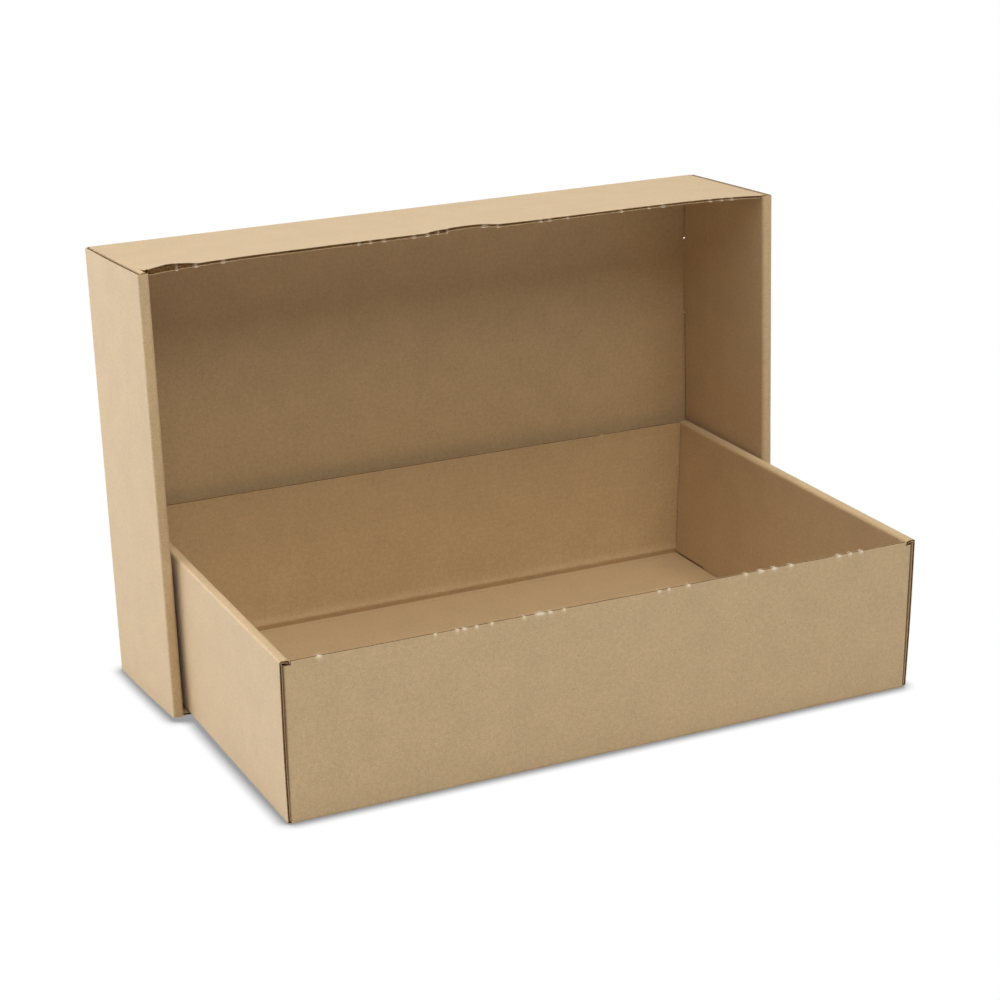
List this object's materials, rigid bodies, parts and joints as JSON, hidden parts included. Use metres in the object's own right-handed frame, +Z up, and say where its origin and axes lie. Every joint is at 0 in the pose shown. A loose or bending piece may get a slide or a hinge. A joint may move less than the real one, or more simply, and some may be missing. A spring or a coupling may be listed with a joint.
{
  "type": "cardboard tray box",
  "caption": "Shallow tray box of thin corrugated board with doubled roll-over end walls; its lid tray stands on edge behind it, mouth forward, holding the rear of the base.",
  "frame": {"origin": "on the ground, at the middle of the pair's bounding box seen from above", "axes": "+Z up, +X along the long walls of both trays, +Y from the base's front wall to the standing lid"},
  "size_m": [0.4172, 0.2734, 0.2728],
  "materials": {
    "base_board": "matte kraft",
    "lid_board": "matte kraft"
  },
  "bodies": {
    "root": {"base_tray": "base_board", "lid_tray": "lid_board"}
  },
  "joints": []
}
